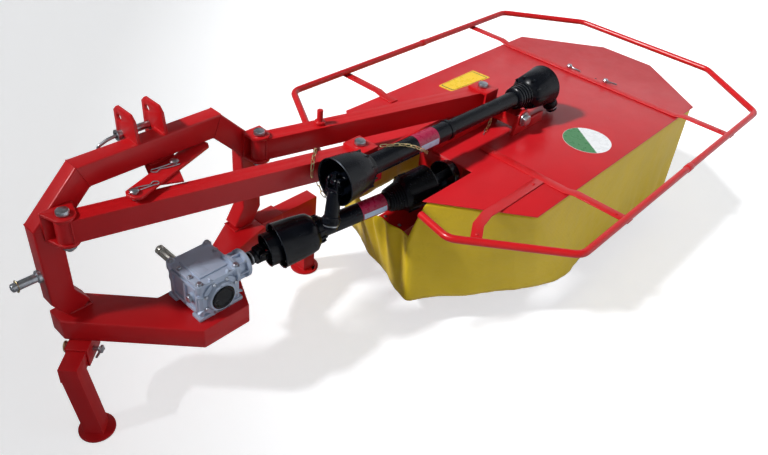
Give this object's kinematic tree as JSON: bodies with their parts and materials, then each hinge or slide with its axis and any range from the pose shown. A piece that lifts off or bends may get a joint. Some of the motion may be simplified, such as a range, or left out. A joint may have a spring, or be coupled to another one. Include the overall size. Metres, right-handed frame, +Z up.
{
  "type": "drum mower",
  "caption": "Side-mounted two-drum rotary mower for a tractor's three-point hitch, with parallel swing arms, guard rail, skirt and parking stands.",
  "frame": {"origin": "middle of the bounding box on the ground", "axes": "+X towards the machine's right, where the mower stands, +Y forward towards the tractor, +Z up"},
  "size_m": [3.1334, 1.423, 0.975],
  "materials": {
    "red_paint": "gloss enamel",
    "yellow_fabric": "coated woven fabric",
    "black_plastic": "moulded",
    "cast_aluminium": "as cast",
    "zinc": "zinc plated",
    "bare_steel": "machined"
  },
  "bodies": {
    "root": {"left_leg": "red_paint", "left_corner": "red_paint", "top_beam": "red_paint", "right_corner": "red_paint", "right_leg": "red_paint", "lower_frame": "red_paint", "left_ear": "red_paint", "right_ear": "red_paint", "top_link_pin": "zinc", "left_hitch_pin": "zinc", "right_hitch_pin": "zinc", "near_hinge": "red_paint", "far_hinge": "red_paint", "near_hinge_bolt": "zinc", "far_hinge_bolt": "zinc", "link_hanger": "red_paint", "lock_link": "red_paint", "gearbox": "cast_aluminium", "gearbox_input": "bare_steel", "gearbox_output": "bare_steel", "left_socket": "red_paint", "right_socket": "red_paint"},
    "near_arm": {"near_arm": "red_paint", "arm_chain": "zinc"},
    "far_arm": {"far_arm": "red_paint", "far_arm_pin": "red_paint"},
    "mower": {"cover": "red_paint", "skirt": "yellow_fabric", "gear_beam": "red_paint", "mower_input": "bare_steel", "input_guard": "black_plastic", "input_tray": "red_paint", "carrier": "red_paint", "tilt_ear": "red_paint", "tilt_bolt": "zinc", "right_strap": "red_paint", "left_rear_strap": "red_paint", "left_front_strap": "red_paint", "side_strap": "red_paint", "rear_rail": "red_paint", "front_rail": "red_paint", "near_end_bolt": "zinc", "far_end_bolt": "zinc", "spare_shaft_outer": "black_plastic", "spare_shaft_inner": "black_plastic", "spare_yoke_left": "black_plastic", "spare_yoke_right": "black_plastic", "fork_chain": "zinc", "hook_chain": "zinc"},
    "left_drum": {"left_drum": "red_paint", "left_drum_skid": "bare_steel"},
    "right_drum": {"right_drum": "red_paint", "right_drum_skid": "bare_steel"},
    "driveshaft_outer": {"driveshaft_outer": "black_plastic"},
    "driveshaft_inner": {"driveshaft_inner": "black_plastic"},
    "left_stand": {"left_stand": "red_paint"},
    "right_stand": {"right_stand": "red_paint"}
  },
  "joints": [
    {"name": "arm_swing", "type": "hinge", "parent": "root", "child": "near_arm", "pos_m": [-1.40175, 0.346, 0.74], "axis": [0, 0, -1], "range_deg": [0, 45]},
    {"name": "far_arm_swing", "type": "hinge", "parent": "root", "child": "far_arm", "pos_m": [-0.69475, 0.346, 0.74], "axis": [0, 0, -1], "range_deg": [0, 45]},
    {"name": "mower_level", "type": "hinge", "parent": "near_arm", "child": "mower", "pos_m": [-0.4689, 0.08379, 0.74], "axis": [0, 0, -1], "range_deg": [-45, 0]},
    {"name": "left_drum_spin", "type": "hinge", "parent": "mower", "child": "left_drum", "pos_m": [0.10625, 0.008, 0.3], "axis": [0, 0, 1], "continuous": true},
    {"name": "right_drum_spin", "type": "hinge", "parent": "mower", "child": "right_drum", "pos_m": [0.92625, 0.008, 0.3], "axis": [0, 0, 1], "continuous": true},
    {"name": "driveshaft_swing", "type": "hinge", "parent": "root", "child": "driveshaft_outer", "pos_m": [-0.86875, 0.133, 0.492], "axis": [0, 0, -1], "range_deg": [0, 61.2]},
    {"name": "driveshaft_slide", "type": "slide", "parent": "driveshaft_outer", "child": "driveshaft_inner", "axis": [0.959, -0.2543, 0.125], "range_m": [0, 0.08482]},
    {"name": "left_stand_slide", "type": "slide", "parent": "root", "child": "left_stand", "axis": [-0.7373, -0.6756, 0], "range_m": [0, 0.09]},
    {"name": "right_stand_slide", "type": "slide", "parent": "root", "child": "right_stand", "axis": [1, 0, 0], "range_m": [0, 0.09]}
  ],
  "couplings": [
    {"joint": "far_arm_swing", "follows": "arm_swing", "ratio": 1},
    {"joint": "mower_level", "follows": "arm_swing", "ratio": -1},
    {"joint": "driveshaft_swing", "follows": "arm_swing", "ratio": 1.36},
    {"joint": "driveshaft_slide", "follows": "arm_swing", "m_per_rad": 0.108},
    {"joint": "right_drum_spin", "follows": "left_drum_spin", "ratio": -1}
  ]
}
